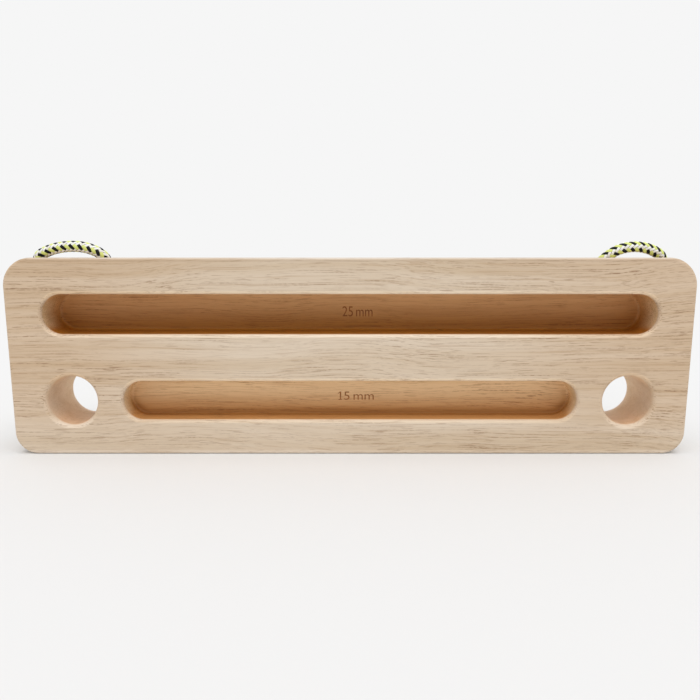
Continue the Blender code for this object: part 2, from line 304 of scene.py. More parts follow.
@dataclass(frozen=True)
class WoodFinish:
    """Pale, fine-sanded rubberwood with short dark pores along its grain.

    Attributes:
        darkening: Where the light colour passes into the dark one.
        end_start: How far from the board's middle the tint of its ends comes in, and foot_start how far up.
        waves: How finely each wave of the grain varies, and how far it lifts the grain.
        inward: How far a wave moves the grain into the board, as a share of its lift.
    """

    name: str = "sanded_wood"
    light: Colour = linear(220, 203, 182)
    dark: Colour = linear(205, 183, 155)
    vein: Colour = linear(170, 134, 96)
    pore: Colour = linear(130, 92, 58)
    tone_scale: Point = (2.2, 26, 38)
    band_scale: Point = (5, 150, 260)
    darkening: Span = (0.36, 0.66)
    end_tint: Colour = (0.93, 0.86, 0.79)
    end_start: Span = (0.05, 0.19)
    foot_start: Span = (0.0, 0.035)
    veins: Marks = Marks((11, 950, 1250), 0.57, 0.70)
    long_pores: Marks = Marks((15, 1500, 1900), 0.575, 0.65)
    short_pores: Marks = Marks((85, 1700, 2100), 0.605, 0.67)
    dots: Marks = Marks((420, 700, 700), 0.38, 0.58, 2)
    patches: Marks = Marks((9, 60, 70), 0.40, 0.60, 2)
    waves: tuple[Wave, ...] = (((6, 9, 10), 0.024), ((16, 14, 22), 0.0030), ((45, 30, 60), 0.0007))
    inward: float = 0.6
    relief: float = 0.00012
    roughness: float = 0.52

    def make(self, edge: "FrontEdge", recesses: Sequence["Recess"]) -> bpy.types.Material:
        """Build the material.

        Args:
            edge: The painted highlights and shade along the front face's two long edges.
            recesses: The routed and drilled hollows, whose insides are darker, partly as their own colour and
                partly as painted shade, and which get painted light.

        Returns:
            The wood.
        """
        graph = Graph(bpy.data.materials.new(self.name))
        where = graph.node("ShaderNodeTexCoord", output="Object")
        bent = self.wavy(graph, where)
        tone = graph.noise(bent, self.tone_scale, 3)
        bands = graph.noise(bent, self.band_scale, 4)
        darker = graph.steps(tone * 0.62 + bands * 0.38, *self.darkening)
        colour = graph.mix(darker, self.light, self.dark)
        across, _, up = graph.parts(where)
        from_middle = abs(across) + (tone - 0.5) * 0.12
        near_end = graph.steps(from_middle, *self.end_start) * graph.steps(up, *self.foot_start)
        colour = graph.tinted(near_end, colour, self.end_tint)
        vein = self.veins.draw(graph, bent)
        long_pore = self.long_pores.draw(graph, bent) * (self.dots.draw(graph, where) * 0.6 + 0.4)
        pore = long_pore.most(self.short_pores.draw(graph, bent) * 0.8)
        pore = pore * (self.patches.draw(graph, where) * 0.5 + 0.32) * (near_end * 0.36 + 0.84)
        for recess in recesses:
            if recess.polish > 0:
                pore = pore * (1.0 - recess.inside(graph, where) * recess.polish)
        colour = graph.mix(vein * 0.30, colour, self.vein)
        colour = graph.mix(pore * 0.74, colour, self.pore)
        # Painted highlights and shade along the front face's long edges.
        colour = edge.tint(graph, where, colour)
        # Each hollow's darker wood, painted shade and painted light.
        for recess in recesses:
            colour = recess.paint_shade_and_light(graph, where, colour)
        height = bands * 0.4 - pore * 0.6 - vein * 0.2
        return graph.finish(
            Base_Color=colour,
            Roughness=pore * 0.2 + self.roughness,
            Normal=graph.bump(height, self.relief, 0.5),
            Specular_IOR_Level=0.35,
        )

    def wavy(self, graph: Graph, where: Socket) -> Socket:
        """Bend the grain a little up and down, as it runs in a flat-sawn plank.

        Args:
            graph: The material's graph.
            where: The place on the board.

        Returns:
            The place to read the grain at.
        """
        lift = sum((graph.noise(where, scale, 1) - 0.5) * rise for scale, rise in self.waves)
        across, depth, up = graph.parts(where)
        inputs = {"X": across, "Y": depth + lift * self.inward, "Z": up + lift}
        return graph.node("ShaderNodeCombineXYZ", inputs)


@dataclass(frozen=True)
class FrontEdge:
    """How the front face's long edges catch the light, painted into the wood's colour: a pale painted
    highlight at the very top over a duller stripe of painted shade, and a pale painted highlight along the
    foot.

    Attributes:
        front: The front face's place.
        bottom: The board's lowest height.
        top: Its highest.
        crest_highlight: The tint at the very top, a painted highlight.
        band_shade: The tint just below, painted shade.
        foot: The tint along the bottom, a painted highlight.
        depth_fade: How far behind the front the three begin and are full. The other fades go up from an edge.
    """

    front: float
    bottom: float
    top: float
    crest_highlight: Colour = (1.02, 1.11, 1.27)
    band_shade: Colour = (0.86, 0.84, 0.83)
    foot: Colour = (1.28, 1.36, 1.5)
    depth_fade: Span = (0.0040, 0.0022)
    crest_fade: Span = (-0.0012, -0.0007)
    band_fade: Span = (-0.0028, -0.0020)
    foot_fade: Span = (0.0034, 0.0010)

    def tint(self, graph: Graph, where: Socket, colour: Socket) -> Socket:
        """Paint highlights and shade into the wood near the two edges.

        Args:
            graph: The material's graph.
            where: The place on the board.
            colour: The colour of the plain wood there.

        Returns:
            The colour with the edges' painted highlights and shade in it.
        """
        _, depth, up = graph.parts(where)
        near = graph.fade(depth, self.front, self.depth_fade)
        # Painted highlight at the very top, painted shade just below it and a painted highlight along the
        # foot.
        crest_highlight = graph.fade(up, self.top, self.crest_fade)
        band_shade = graph.fade(up, self.top, self.band_fade) * (1.0 - crest_highlight)
        foot = graph.fade(up, self.bottom, self.foot_fade)
        for share, tint in ((crest_highlight, self.crest_highlight), (band_shade, self.band_shade), (foot, self.foot)):
            colour = graph.tinted(near * share, colour, tint)
        return colour


@dataclass(frozen=True)
class Recess:
    """A hollow with round ends, open to the front, darker inside than the board's face and paler on its lip.

    Its colours multiply the wood's own: inside, partly the routed wood's darker colour and partly painted
    shade, and painted light on its lips, its end walls and the holes' rear. A fade or a pair of shares says
    where a tint
    begins and where it is full: a fade as distances from the wall, the front or the floor, and shares as
    parts of the radius.

    Attributes:
        middle: Its middle height on the board.
        reach: How far its straight stretch runs to each side of its own middle.
        radius: Its half height.
        aside: How far its middle lies to one side of the board's, on both sides alike.
        low: The tint of its lower side, which passes into high within ramp: partly the routed wood's darker
            colour and partly painted shade in the slots, and painted light and shade in the holes.
        corner: The tint where its floor meets its lower wall: painted shade in the lower slot, and painted
            light in the upper slot and at the holes' rear rim.
        corner_reach: How far that runs up the floor.
        corner_depth: How far it runs forward from the floor.
        end_front: The painted light on its end walls at the front, which passes into end_deep at the floor.
        far: The painted light at its far end.
        end_relief: How much paler its end walls are near the front, as a share: painted light.
        polish: The share of the wood's pores that its walls don't show.
        floor_gap: How far from the floor the corner's tint is full, and wall_gap how far from the wall.
    """

    middle: float
    reach: float
    radius: float
    front: float
    depth: float
    lip_round: float
    # low and high: partly the routed wood's darker colour and partly painted shade in the slots, darker
    # towards the bottom; painted light and shade in the holes.
    low: Colour
    high: Colour
    aside: float = 0.0
    ramp: Span = (-0.8, 1.15)
    # Painted shade in the lower slot's corner, and painted light in the upper slot's corner and at the holes'
    # rear rim.
    corner: Colour = (1.0, 1.0, 1.0)
    corner_reach: float = 0.0035
    corner_depth: float = 0.0035
    # Painted light on the end walls, from the front to the floor.
    end_front: Colour = (1.20, 1.20, 1.02)
    end_deep: Colour = (1.24, 1.38, 1.42)
    # Painted light at the far end.
    far: Colour = (1.0, 1.0, 1.0)
    # The share of the inside tint that the end walls lose near the front, as painted light.
    end_relief: float = 0.92
    polish: float = 0.0
    # Painted highlights on the lower and upper lips.
    lower_lip: Colour = (1.06, 1.10, 1.16)
    upper_lip_highlight: Colour = (1.32, 1.34, 1.32)
    end_shares: Span = (0.5, 1.0)
    low_shares: Span = (0.3, -0.7)
    steep_shares: Span = (0.55, 0.95)
    wall_fade: Span = (0.0012, 0.0008)
    back_fade: Span = (0.0010, 0.0004)
    mouth_fade: Span = (0.0017, 0.0030)
    end_wall_fade: Span = (-0.0025, -0.0003)
    end_floor_fade: Span = (-0.0006, -0.0030)
    lip_fade: Span = (-0.0010, 0.0)
    floor_gap: float = 0.0004
    wall_gap: float = 0.0003

    def places(self, graph: Graph, where: Socket) -> tuple[Socket, Socket, Socket]:
        """Measure a place in the hollow.

        Args:
            graph: The material's graph.
            where: The place on the board.

        Returns:
            How far past the straight stretch it is, how far up, and how far from the hollow's middle.
        """
        across, _, up = graph.parts(where)
        past = (abs(abs(across) - self.aside) - self.reach).most(0.0)
        height = up - self.middle
        return past, height, (past * past + height * height).root()

    def inside(self, graph: Graph, where: Socket) -> Socket:
        """Tell the hollow's inside from the board's outer faces.

        Args:
            graph: The material's graph.
            where: The place on the board.

        Returns:
            1 on the hollow's walls and floor, and 0 on the outer faces.
        """
        _, depth, _ = graph.parts(where)
        _, _, away = self.places(graph, where)
        walled = graph.fade(away, self.radius, self.wall_fade)
        return walled * graph.fade(depth, self.front + self.depth, self.back_fade)

    def shares(self, graph: Graph, value: Socket, span: Span) -> Socket:
        """Rise smoothly from 0 to 1 between two shares of the hollow's radius."""
        return graph.steps(value, self.radius * span[0], self.radius * span[1])

    def paint_shade_and_light(self, graph: Graph, where: Socket, colour: Socket) -> Socket:
        """Darken a colour inside the hollow, partly as the routed wood's own colour and partly as painted
        shade, and paint light on its lip, its end walls and its far end.

        Args:
            graph: The material's graph.
            where: The place on the board.
            colour: The colour of the bare wood there.

        Returns:
            The colour with the hollow's darker wood, painted shade and painted light in it.
        """
        _, depth, _ = graph.parts(where)
        past, height, away = self.places(graph, where)
        inside = self.inside(graph, where)
        floor = self.front + self.depth
        behind_lip = graph.fade(depth, self.front, self.mouth_fade)
        deep = graph.steps(depth, self.front, floor)
        end_wall = self.shares(graph, past, self.end_shares)
        # The inside tint: partly the routed wood's darker colour and partly painted shade, with less of it on
        # the end walls near the front.
        share = inside * behind_lip * (1.0 - end_wall * (1.0 - deep) * self.end_relief)
        rising = self.shares(graph, height, self.ramp)
        colour = graph.tinted(share, colour, graph.mix(rising, self.low, self.high))
        # Where the floor meets the lower wall: painted shade in the lower slot, painted light in the upper
        # slot and the holes.
        near_floor = graph.fade(depth, floor, (-self.corner_depth, -self.floor_gap))
        near_wall = graph.fade(away, self.radius, (-self.corner_reach, -self.wall_gap))
        lower_side = self.shares(graph, height, self.low_shares)
        colour = graph.tinted(inside * near_floor * near_wall * lower_side, colour, self.corner)
        # Painted light on the end walls.
        on_wall = graph.fade(away, self.radius, self.end_wall_fade)
        on_wall = on_wall * graph.fade(depth, floor, self.end_floor_fade)
        end = graph.mix(deep, self.end_front, self.end_deep)
        colour = graph.tinted(inside * behind_lip * end_wall * on_wall, colour, end)
        # Painted light at the far end.
        colour = graph.tinted(inside * deep, colour, self.far)
        # Painted highlights on the lips.
        on_lip = graph.fade(away, self.radius, (self.lip_round, self.lip_round * 0.6))
        on_lip = on_lip * (1.0 - behind_lip) * graph.fade(away, self.radius, self.lip_fade)
        steep = self.shares(graph, abs(height), self.steep_shares)
        lip = graph.mix(height > 0.0, self.lower_lip, self.upper_lip_highlight)
        return graph.tinted(on_lip * steep, colour, lip)


@dataclass(frozen=True)
class BurntFinish:
    """Wood browned by a marking laser."""

    name: str
    colour: Colour
    paler: float = 1.5
    grain_scale: Point = (60, 900, 900)
    roughness: float = 0.7

    def make(self) -> bpy.types.Material:
        """Build the material.

        Returns:
            The burnt wood.
        """
        graph = Graph(bpy.data.materials.new(self.name))
        where = graph.node("ShaderNodeTexCoord", output="Object")
        grain = graph.noise(where, self.grain_scale)
        red, green, blue = (value * self.paler for value in self.colour)
        colour = graph.mix(graph.steps(grain, 0.35, 0.7), self.colour, (red, green, blue))
        normal = graph.bump(grain, 0.00005, 0.4)
        return graph.finish(Base_Color=colour, Roughness=self.roughness, Normal=normal)


@dataclass(frozen=True)
class Braid:
    """How a round braid of sixteen yarn bundles lies: eight run one way round and eight the other.

    Each bundle passes over two and under two of those that cross it, which stacks the crossings in columns
    along the cord. Surface coordinates count bundles: one round is 8, and one turn of a bundle is 8 along.

    Attributes:
        pitch: How far along the cord a bundle goes round once.
        rise: How high the yarn stands over the gaps.
        gap: The gap between bundles, as a share of half a bundle.
        widening: How much wider the columns of one way's bundles are, the first of them at first_column.
        fullness: How much of a full round's width a bundle's section has, as a share.
        dip: How far a bundle dips where it goes under, and dip_power how late.
    """

    bundles: int = 8
    pitch: float = 0.0212
    rise: float = 0.00042
    gap: float = 0.09
    widening: float = 0.10
    first_column: float = 0.75
    fullness: float = 0.97
    dip: float = 0.55
    dip_power: float = 2.5

    def widened(self, around: np.ndarray) -> np.ndarray:
        """Widen the columns of one way's bundles and narrow those of the other's, as thicker yarn does."""
        return around - self.widening * np.sin(math.pi * (around - self.first_column))

    def cell(self, around: np.ndarray, along: np.ndarray) -> np.ndarray:
        """Work out how high the yarn stands, from 0 in the gaps to 1 on top, at places on the cord.

        Args:
            around: Places round the cord, counted in bundles.
            along: Places along it, counted in bundles.

        Returns:
            The heights.
        """
        one, other = around - along, around + along
        turn = np.mod(np.floor(one) + np.floor(other), 4)
        on_top = turn < 2
        across = np.where(on_top, one, other) % 1 * 2 - 1
        run = np.where(on_top, turn + other % 1, turn - 2 + one % 1) - 1
        yarn = np.sqrt(np.clip(1 - (across * self.fullness) ** 2, 0, 1))
        return yarn * (1 - self.dip * np.abs(run) ** self.dip_power)


@dataclass(frozen=True)
class CordFinish:
    """A braid with black and yellow-green bundles one way round and white ones the other."""

    name: str = "braided_yarn"
    black: Colour = linear(14, 14, 18)
    bright: Colour = linear(223, 232, 136)
    white: Colour = linear(248, 248, 245)
    warm: Colour = linear(240, 237, 231)
    groove: Colour = (0.02, 0.02, 0.02)
    gap_shade: float = 0.35
    thread_shade: float = 0.10
    thread_relief: float = 0.00006
    roughness: float = 0.62
    braid: Braid = Braid()

    def make(self) -> bpy.types.Material:
        """Build the material, which reads the cord's own map.

        Returns:
            The yarn.
        """
        graph = Graph(bpy.data.materials.new(self.name))
        around, along, _ = graph.parts(graph.node("ShaderNodeUVMap", uv_map="braid"))
        one, other = around - along, around + along
        turn = (one.floor() + other.floor()) % 4.0
        on_top = turn < 2.0
        coloured = graph.mix(one.floor() % 2.0, self.black, self.bright)
        warm = (other.floor() % 4.0) < 1.0
        pale = graph.mix(warm, self.white, self.warm)
        edge = abs(other % 1.0 * 2.0 - 1.0)
        between = graph.steps(edge, 1 - self.braid.gap * 2, 1 - self.braid.gap)
        dim = graph.mix(self.gap_shade, coloured, (0.0, 0.0, 0.0))
        pale = graph.mix(between, pale, dim)
        colour = graph.mix(on_top, pale, coloured)
        threads = self.threads(graph, one, other, on_top)
        return graph.finish(
            Base_Color=graph.mix(threads * self.thread_shade, colour, self.groove),
            Roughness=self.roughness,
            Normal=graph.bump(-threads, self.thread_relief, 0.6),
            Specular_IOR_Level=0.2,
        )

    def threads(self, graph: Graph, one: Socket, other: Socket, on_top: Socket) -> Socket:
        """Draw the fine twisted threads that make up each bundle.

        Args:
            graph: The material's graph.
            one: The count of the bundles that run one way.
            other: The count of those that run the other way.
            on_top: 1 where the first are on top.

        Returns:
            1 in the grooves between threads, and 0 on them.
        """
        across = one * on_top + other * (1.0 - on_top)
        run = other * on_top + one * (1.0 - on_top)
        wave = ((across * 5.0 + run * 1.3) * (2 * math.pi)).cosine()
        return graph.steps(wave, 0.2, 1.0)


@dataclass(frozen=True)
class PaleFloorFinish:
    """A plain pale studio floor."""

    name: str = "studio_floor"
    colour: Colour = (0.745, 0.745, 0.745)
    roughness: float = 0.9

    def make(self) -> bpy.types.Material:
        """Build the material."""
        graph = Graph(bpy.data.materials.new(self.name))
        return graph.finish(Base_Color=(*self.colour, 1), Roughness=self.roughness, Specular_IOR_Level=0.0)


@dataclass
class StudioCamera:
    """The camera, placed as the photograph was taken: close, a little below the board's top face."""

    place: Point = (0.0, -0.375, 0.1205)
    downwards: float = math.radians(8.43)
    focal_pixels: float = 574.0
    frame_pixels: float = 700.0
    sensor: float = 36.0

    def build(self) -> None:
        """Make the camera and look through it."""
        lens = bpy.data.cameras.new("camera")
        lens.sensor_width = self.sensor
        lens.lens = self.sensor * self.focal_pixels / self.frame_pixels
        lens.clip_start = 0.01
        lens.clip_end = 50
        lens.dof.use_dof = False
        camera = bpy.data.objects.new("camera", lens)
        bpy.context.scene.collection.objects.link(camera)
        camera.location = self.place
        camera.rotation_euler = (QUARTER_TURN - self.downwards, 0, 0)
        bpy.context.scene.camera = camera


@dataclass
class HighLamp:
    """A large soft lamp high above, so far off that it lights the whole floor alike.

    Attributes:
        height: How high it stands above the horizon, as an angle.
        aside: How far it stands to the right of straight in front, as an angle.
        spread: How wide it looks from the object, as an angle.
        power: The light that it throws on a surface that faces it, in watts a square metre.
    """

    name: str = "high_lamp"
    height: float = math.radians(74)
    aside: float = math.radians(12)
    spread: float = math.radians(60)
    power: float = 1.6

    def build(self) -> None:
        """Hang the lamp."""
        light = bpy.data.lights.new(self.name, "SUN")
        light.energy = self.power
        light.angle = self.spread
        lamp = bpy.data.objects.new(self.name, light)
        bpy.context.scene.collection.objects.link(lamp)
        lamp.rotation_euler = (QUARTER_TURN - self.height, 0, self.aside)


@dataclass
class Studio:
    """The pale floor, the even surroundings and the lamp."""

    floor_size: float = 12.0
    surroundings: float = 0.755
    shown: Colour = linear(246, 246, 246)
    lamp: HighLamp = field(default_factory=HighLamp)

    def build(self) -> bpy.types.Object:
        """Lay the floor, light the surroundings and hang the lamp.

        Returns:
            The floor.
        """
        body = bmesh.new()
        bmesh.ops.create_grid(body, x_segments=1, y_segments=1, size=self.floor_size / 2)
        floor = new_piece("studio_floor", body, PaleFloorFinish().make())
        self.light_surroundings()
        self.lamp.build()
        return floor

    def light_surroundings(self) -> None:
        """Make the world light the object evenly, and show as the pale background."""
        world = bpy.data.worlds.new("surroundings")
        bpy.context.scene.world = world
        graph = Graph(world)
        lighting = graph.node("ShaderNodeBackground", {"Color": (1, 1, 1, 1), "Strength": self.surroundings})
        shown = graph.node("ShaderNodeBackground", {"Color": (*self.shown, 1), "Strength": 1.0})
        rays = ("Is Camera Ray", "Is Glossy Ray", "Is Transmission Ray")
        camera, glossy, transmitted = (graph.node("ShaderNodeLightPath", output=ray) for ray in rays)
        inputs = {0: camera.most(glossy).most(transmitted), 1: lighting, 2: shown}
        graph.node("ShaderNodeOutputWorld", {"Surface": graph.node("ShaderNodeMixShader", inputs)})


def smooth_line(route: Sequence[Sequence[float]], spacing: float) -> np.ndarray:
    """Space points evenly along the smooth curve through a route's own points.

    Args:
        route: The points that the curve passes through.
        spacing: About how far apart the new points are.

    Returns:
        The new points, one to a row.
    """
    known = np.array(route, float)
    points = np.vstack([2 * known[0] - known[1], known, 2 * known[-1] - known[-2]])
    fine: list[np.ndarray] = []
    for before, start, end, after in zip(points, points[1:], points[2:], points[3:]):
        pairs = ((before, start), (start, end), (end, after))
        first, second, third = np.cumsum([np.linalg.norm(right - left) ** 0.5 for left, right in pairs])
        for now in np.linspace(first, second, CURVE_STEPS, endpoint=False):
            lead = ((first - now) * before + now * start) / first
            middle = ((second - now) * start + (now - first) * end) / (second - first)
            tail = ((third - now) * end + (now - second) * after) / (third - second)
            early = ((second - now) * lead + now * middle) / second
            late = ((third - now) * middle + (now - first) * tail) / (third - first)
            fine.append(((second - now) * early + (now - first) * late) / (second - first))
    line = np.array([*fine, known[-1]])
    along = np.concatenate([[0], np.cumsum(np.linalg.norm(np.diff(line, axis=0), axis=1))])
    count = max(2, round(along[-1] / spacing) + 1)
    at = np.linspace(0, along[-1], count)
    return np.stack([np.interp(at, along, line[:, axis]) for axis in range(3)], axis=1)


@dataclass
class Bores:
    """Where the cord bores lie in the board. They slant down from the top face to the rear face."""

    slant: float = math.radians(45)
    pitch: float = 0.0362
    pair_from_end: float = 0.0368
    before_middle: float = 0.005
    diameter: float = 0.0085
    pivot_below_top: float = 0.004

    def __post_init__(self) -> None:
        """Read the board's own box from the frame."""
        low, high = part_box("board")
        self.top = high.z
        self.rear = high.y
        self.pair_x = high.x - self.pair_from_end
        self.axis = Vector((0, math.sin(self.slant), -math.cos(self.slant)))
        self.side = Vector((0, math.cos(self.slant), math.sin(self.slant)))

    def mouth(self, across: float) -> Vector:
        """Find where a bore's axis leaves the top face."""
        return Vector((across, -self.before_middle, self.top))

    def rear_mouth(self, across: float) -> Vector:
        """Find where a bore's axis leaves the rear face."""
        return self.mouth(across) + self.axis * ((self.rear + self.before_middle) / math.sin(self.slant))

    def pivot(self, across: float) -> Vector:
        """Find where the cord bends, a little below the top face."""
        return self.mouth(across) + self.axis * (self.pivot_below_top / math.cos(self.slant))


# The second half of an overhand knot, in cord diameters: sideways, away from the board and down the cord. The
# first half is the same curve turned by half a turn about the axis that points away from the board's face.
KNOT_HALF_ROUTE = (
    (-0.54, 1.08, -0.10), (-1.52, 0.54, -0.34), (-1.54, -0.52, -0.72),
    (-0.60, -1.16, -0.92), (0.42, -0.84, -0.40), (0.54, -0.06, 0.44),
    (0.44, 0.22, 1.25),
)
KNOT_LEAD_ROUTE = ((0.00, 0.00, -2.45), (0.00, 0.00, -2.10))
KNOT_TAIL_ROUTE = ((0.36, 0.05, 2.20), (0.30, -0.62, 3.05), (0.26, -1.55, 3.60))

# The two loops in their leaning plane, as distances sideways from the pair's middle and up from the pivots.
LEFT_LOOP_ROUTE = (
    (-0.0199, -0.0004), (-0.0212, 0.0034), (-0.0194, 0.0061), (-0.0152, 0.0084),
    (-0.0098, 0.0103), (-0.0035, 0.0115), (0.0025, 0.0119), (0.0090, 0.0113),
    (0.0146, 0.0095), (0.0191, 0.0068), (0.0214, 0.0034), (0.0199, -0.0004),
)
RIGHT_LOOP_ROUTE = (
    (-0.0174, 0.0004), (-0.0157, 0.0031), (-0.0131, 0.0057), (-0.0095, 0.0085),
    (-0.0048, 0.0106), (0.0018, 0.0117), (0.0080, 0.0112), (0.0136, 0.0096),
    (0.0189, 0.0068), (0.0214, 0.0034), (0.0199, -0.0004),
)


@dataclass
class Cord:
    """One of the two braided cords, from the tail of one stopper knot to the tail of the other.

    Attributes:
        side: The side it is on, as its nodes are named.
        middle: The middle of its pair of bores, across the board.
        loop: Its loop's route.
        phase: How far the braid is turned about the cord, counted in bundles.
        start: How far the braid is shifted along the cord, counted in bundles.
        twist: How far the braid turns from one end of the cord to the other, counted in bundles.
        legs: The body of its knots and legs; not used.
        crown: The body of its loop; not used.
        lean: How far the loop leans forward.
        knot_below: How far below the pivot the knot's middle lies.
        around: How many faces there are round the cord.
        ring_gap: How far apart the rings are.
        leg_points: Where its route has points in a bore, as shares of the way from the pivot to the knot.
        tip_share: How many of its rounded tips are as long as it is thick.
        tip_point: How thick it is at the very tips, as a share.
        sunk: How far its gaps lie below its nominal surface, as a share of the braid's rise.
        bend_reach: How far to each side of its pivot it would bend when the loop leans; not used.
    """

    side: str
    middle: float
    loop: Sequence[tuple[float, float]]
    phase: float
    start: float
    twist: float
    legs: Body
    crown: Body
    bores: Bores
    diameter: float = 0.0066
    lean: float = math.radians(20)
    knot_below: float = 0.057
    around: int = 64
    ring_gap: float = 0.00036
    braid: Braid = Braid()
    leg_points: tuple[float, ...] = (0.16, 0.42, 0.7)
    tip_share: float = 2.6
    tip_point: float = 0.02
    sunk: float = 0.55
    bend_reach: float = 0.004

    def build(self, material: bpy.types.Material) -> bpy.types.Object:
        """Args:
            material: The braid's material.

        Returns:
            The cord.
        """
        line = smooth_line(self.route(), self.ring_gap)
        length = float(np.linalg.norm(np.diff(line, axis=0), axis=1).sum())
        piece = new_piece(self.side + "_cord", self.skin(line, length), material)
        piece.data.shade_smooth()
        self.hang(piece)
        return piece

    def up(self) -> Vector:
        """Find the way up in the loop's leaning plane."""
        return Vector((0, -math.sin(self.lean), math.cos(self.lean)))

    def route(self) -> list[Vector]:
        """List the points of the whole cord.

        Returns:
            The points, from the left bore's tail to the right bore's.
        """
        left, right = self.middle - self.bores.pitch / 2, self.middle + self.bores.pitch / 2
        pivot = self.bores.pivot(self.middle)
        crown = [pivot + Vector((across, 0, 0)) + self.up() * height for across, height in self.loop]
        down = [*self.leg(right), *self.knot(right)]
        return [*reversed([*self.leg(left), *self.knot(left)]), *crown, *down]

    def leg(self, across: float) -> list[Vector]:
        """List points down a bore, from below the mouth to just above the knot."""
        lead = self.knot_below + KNOT_LEAD_ROUTE[0][2] * self.diameter
        return [self.bores.pivot(across) + self.bores.axis * (lead * share) for share in self.leg_points]

    def knot(self, across: float) -> list[Vector]:
        """List the points of a stopper knot.

        Args:
            across: Where its bore is, across the board.

        Returns:
            The points, from the knot's lead to the end of its tail.
        """
        turned = [(-aside, out, -down) for aside, out, down in reversed(KNOT_HALF_ROUTE)]
        middle = self.bores.pivot(across) + self.bores.axis * self.knot_below
        turn = Matrix((Vector((1, 0, 0)), self.bores.side, self.bores.axis)).transposed()
        route = [*KNOT_LEAD_ROUTE, *turned, *KNOT_HALF_ROUTE, *KNOT_TAIL_ROUTE]
        return [middle + turn @ (Vector(point) * self.diameter) for point in route]

    def skin(self, line: np.ndarray, length: float) -> bmesh.types.BMesh:
        """Wrap a grid round the cord's line, with the braid raised on it.

        Args:
            line: The centres of the cord's rings.
            length: The line's length.

        Returns:
            The closed skin, with the map called braid.
        """
        rings = len(line)
        body = bmesh.new()
        bmesh.ops.create_grid(body, x_segments=self.around, y_segments=rings - 1, size=0.5)
        grid = np.array([vertex.co[:2] for vertex in body.verts]) + 0.5
        turn, ring = grid[:, 0], np.rint(grid[:, 1] * (rings - 1)).astype(int)
        share = ring / (rings - 1)
        turned = self.phase + self.twist * (share - 0.5)
        around = self.braid.widened(turn * self.braid.bundles + turned)
        along = share * length / self.braid.pitch * self.braid.bundles + self.start
        maps = body.loops.layers.uv.new("braid")
        body.verts.ensure_lookup_table()
        for face in body.faces:
            for corner in face.loops:
                index = corner.vert.index
                corner[maps].uv = (around[index], along[index])
        height = self.braid.cell(around, along)
        from_end = np.minimum(ring, rings - 1 - ring) * self.ring_gap
        tip = np.minimum(from_end / (self.diameter / self.tip_share), 1)
        dome = np.maximum(np.sqrt(np.clip(1 - (1 - tip) ** 2, 0.0, 1)), self.tip_point)
        radius = (self.diameter / 2 - self.braid.rise * self.sunk + self.braid.rise * height) * dome
        front, down = self.frames(line)
        angle = turn * 2 * math.pi
        out = np.cos(angle)[:, None] * front[ring] + np.sin(angle)[:, None] * down[ring]
        for vertex, place in zip(body.verts, line[ring] + out * radius[:, None]):
            vertex.co = place
        bmesh.ops.remove_doubles(body, verts=body.verts, dist=TIP_MERGE_DISTANCE)
        bmesh.ops.holes_fill(body, edges=[edge for edge in body.edges if edge.is_boundary], sides=0)
        bmesh.ops.recalc_face_normals(body, faces=body.faces)
        return body

    def frames(self, line: np.ndarray) -> tuple[np.ndarray, np.ndarray]:
        """Find two directions across the cord at each ring, which don't twist along it.

        Args:
            line: The centres of the cord's rings.

        Returns:
            The direction that faces the front at the loop's crown, and the one that faces down there.
        """
        way = np.gradient(line, axis=0)
        way /= np.linalg.norm(way, axis=1)[:, None]
        crown = int(np.argmax(line[:, 2]))
        front = np.zeros_like(line)
        start = np.array([0.0, -1.0, 0.0])
        front[crown] = start - way[crown] * (start @ way[crown])
        for order in (range(crown + 1, len(line)), range(crown - 1, -1, -1)):
            last = front[crown]
            for ring in order:
                last = last - way[ring] * (last @ way[ring])
                last = last / np.linalg.norm(last)
                front[ring] = last
        front /= np.linalg.norm(front, axis=1)[:, None]
        return front, np.cross(way, front)

    def hang(self, piece: bpy.types.Object) -> None:
        """Args:
            piece: The cord's object.
        """
        pivot = self.bores.pivot(self.middle)
        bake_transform(piece)
        names = [f"{self.side}_{which}_{part}" for which in ("outer", "inner") for part in ("leg", "knot")]
        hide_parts(self.side + "_loop", *names)
        mouth = self.bores.rear_mouth(self.middle - self.bores.pitch / 2)


@dataclass(frozen=True)
class RoutedSlot:
    """A finger slot: its full length, its depth from the front face and the height of its middle."""

    length: float
    depth: float
    height: float


